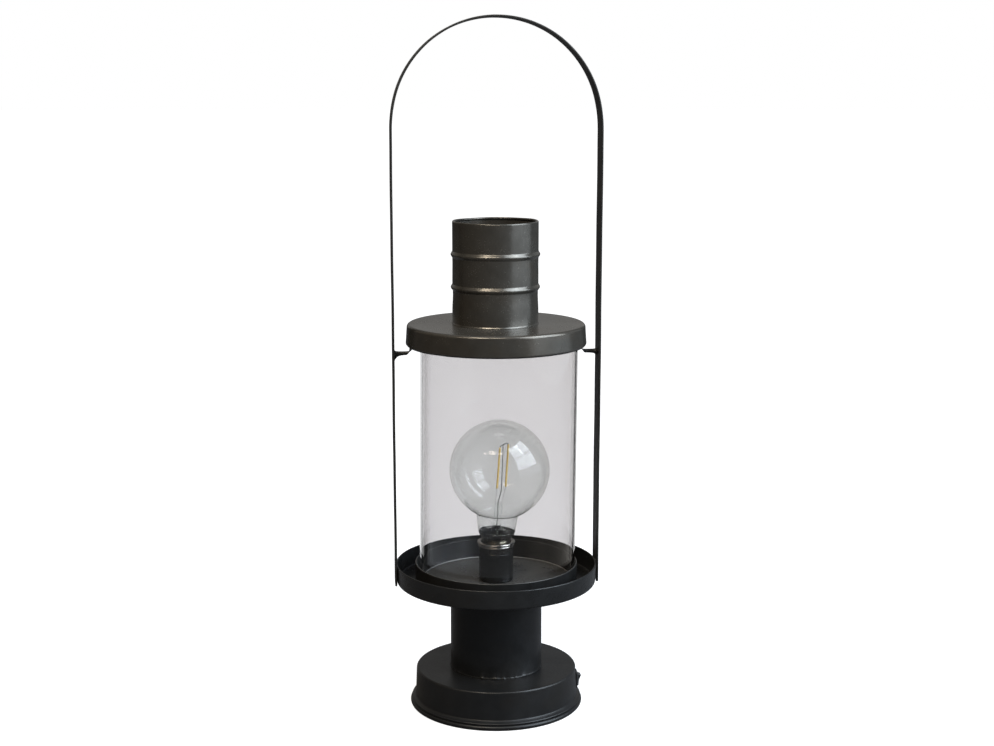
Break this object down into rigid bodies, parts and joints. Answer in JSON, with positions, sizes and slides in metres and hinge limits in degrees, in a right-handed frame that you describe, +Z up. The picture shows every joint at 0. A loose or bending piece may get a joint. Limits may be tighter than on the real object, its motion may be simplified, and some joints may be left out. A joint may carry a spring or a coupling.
{
  "type": "lantern table lamp",
  "caption": "Lantern-shaped table lamp: round drum base, column, tray with a glass cylinder round a globe bulb, cap with a tall chimney, and an arched carrying strap.",
  "frame": {"origin": "centre of the base's underside, on the surface the lamp stands on", "axes": "+Z up, X across the carrying strap with the switch at +X, -Y the front, +Y the back with the cord inlet"},
  "size_m": [0.1968, 0.1926, 0.6556],
  "materials": {
    "black_iron": "satin black lacquered steel sheet",
    "burnished_iron": "semi-gloss burnished black lacquer",
    "felt": "glued felt",
    "zinc_steel": "zinc plated",
    "black_rubber": "matt",
    "black_bakelite": "satin moulded",
    "chrome_trim": "bright plated",
    "white_ceramic": "unglazed",
    "brass_contact": "bare",
    "switch_black": "fine textured moulding",
    "white_plastic": "moulded",
    "lead_brown": "insulation",
    "lead_blue": "insulation",
    "lead_green": "insulation",
    "smoke_glass": "clear with a faint smoke grey tint",
    "clear_glass": "clear",
    "nickel_cap": "nickel plated",
    "black_vitrite": "opaque black",
    "solder_tip": "solder",
    "dark_wire": "dull",
    "filament_yellow": "yellow phosphor coated strip",
    "board_green": "circuit board"
  },
  "bodies": {
    "root": {"base_drum": "black_iron", "base_plate": "black_iron", "base_felt": "felt", "base_posts": "zinc_steel", "base_plate_screws": "zinc_steel", "lead_grommet": "black_rubber", "column_tube": "black_iron", "tray_pan": "black_iron", "gallery_ring": "black_iron", "handle_strap": "black_iron", "bracket_left": "black_iron", "bracket_right": "black_iron", "holder_nipple": "zinc_steel", "nipple_washer": "zinc_steel", "nipple_nut": "zinc_steel", "holder_cap": "black_bakelite", "holder_skirt": "black_bakelite", "holder_rim": "chrome_trim", "holder_core": "white_ceramic", "holder_screw_shell": "brass_contact", "holder_tongue": "brass_contact", "holder_terminal_screws": "brass_contact", "switch_housing": "switch_black", "switch_terminals": "brass_contact", "cord_bush": "switch_black", "cord_bush_nut": "switch_black", "terminal_block": "white_plastic", "terminal_screws": "zinc_steel", "earth_stud": "zinc_steel", "earth_lug": "brass_contact", "earth_nut": "zinc_steel", "lead_to_switch": "lead_brown", "lead_live": "lead_brown", "lead_neutral": "lead_blue", "lead_earth": "lead_green"},
    "rocker": {"switch_rocker": "switch_black"},
    "glass": {"glass_cylinder": "smoke_glass"},
    "cap": {"cap_lid": "burnished_iron", "chimney_tube": "burnished_iron"},
    "bulb_tip": {"bulb_tip_contact": "solder_tip"},
    "bulb": {"bulb_globe": "clear_glass", "bulb_screw_cap": "nickel_cap", "bulb_insulator": "black_vitrite", "bulb_stem": "clear_glass", "bulb_lead_wires": "dark_wire", "bulb_filaments": "filament_yellow", "bulb_driver_board": "board_green"}
  },
  "joints": [
    {"name": "switch_rock", "type": "hinge", "parent": "root", "child": "rocker", "pos_m": [0.0772, 0, 0.0189], "axis": [0, -1, 0], "range_deg": [0, 25]},
    {"name": "glass_lift", "type": "slide", "parent": "root", "child": "glass", "axis": [0, 0, 1], "range_m": [0, 0.1564]},
    {"name": "cap_lift", "type": "slide", "parent": "glass", "child": "cap", "axis": [0, 0, 1], "range_m": [0, 0.019]},
    {"name": "bulb_rise", "type": "slide", "parent": "root", "child": "bulb_tip", "axis": [0, 0, 1], "range_m": [0, 0.0166]},
    {"name": "bulb_turn", "type": "hinge", "parent": "bulb_tip", "child": "bulb", "pos_m": [0, 0, 0.16], "axis": [0, 0, 1], "range_deg": [0, 1620]}
  ],
  "couplings": [
    {"joint": "bulb_rise", "follows": "bulb_turn", "m_per_rad": 0.00057757}
  ]
}
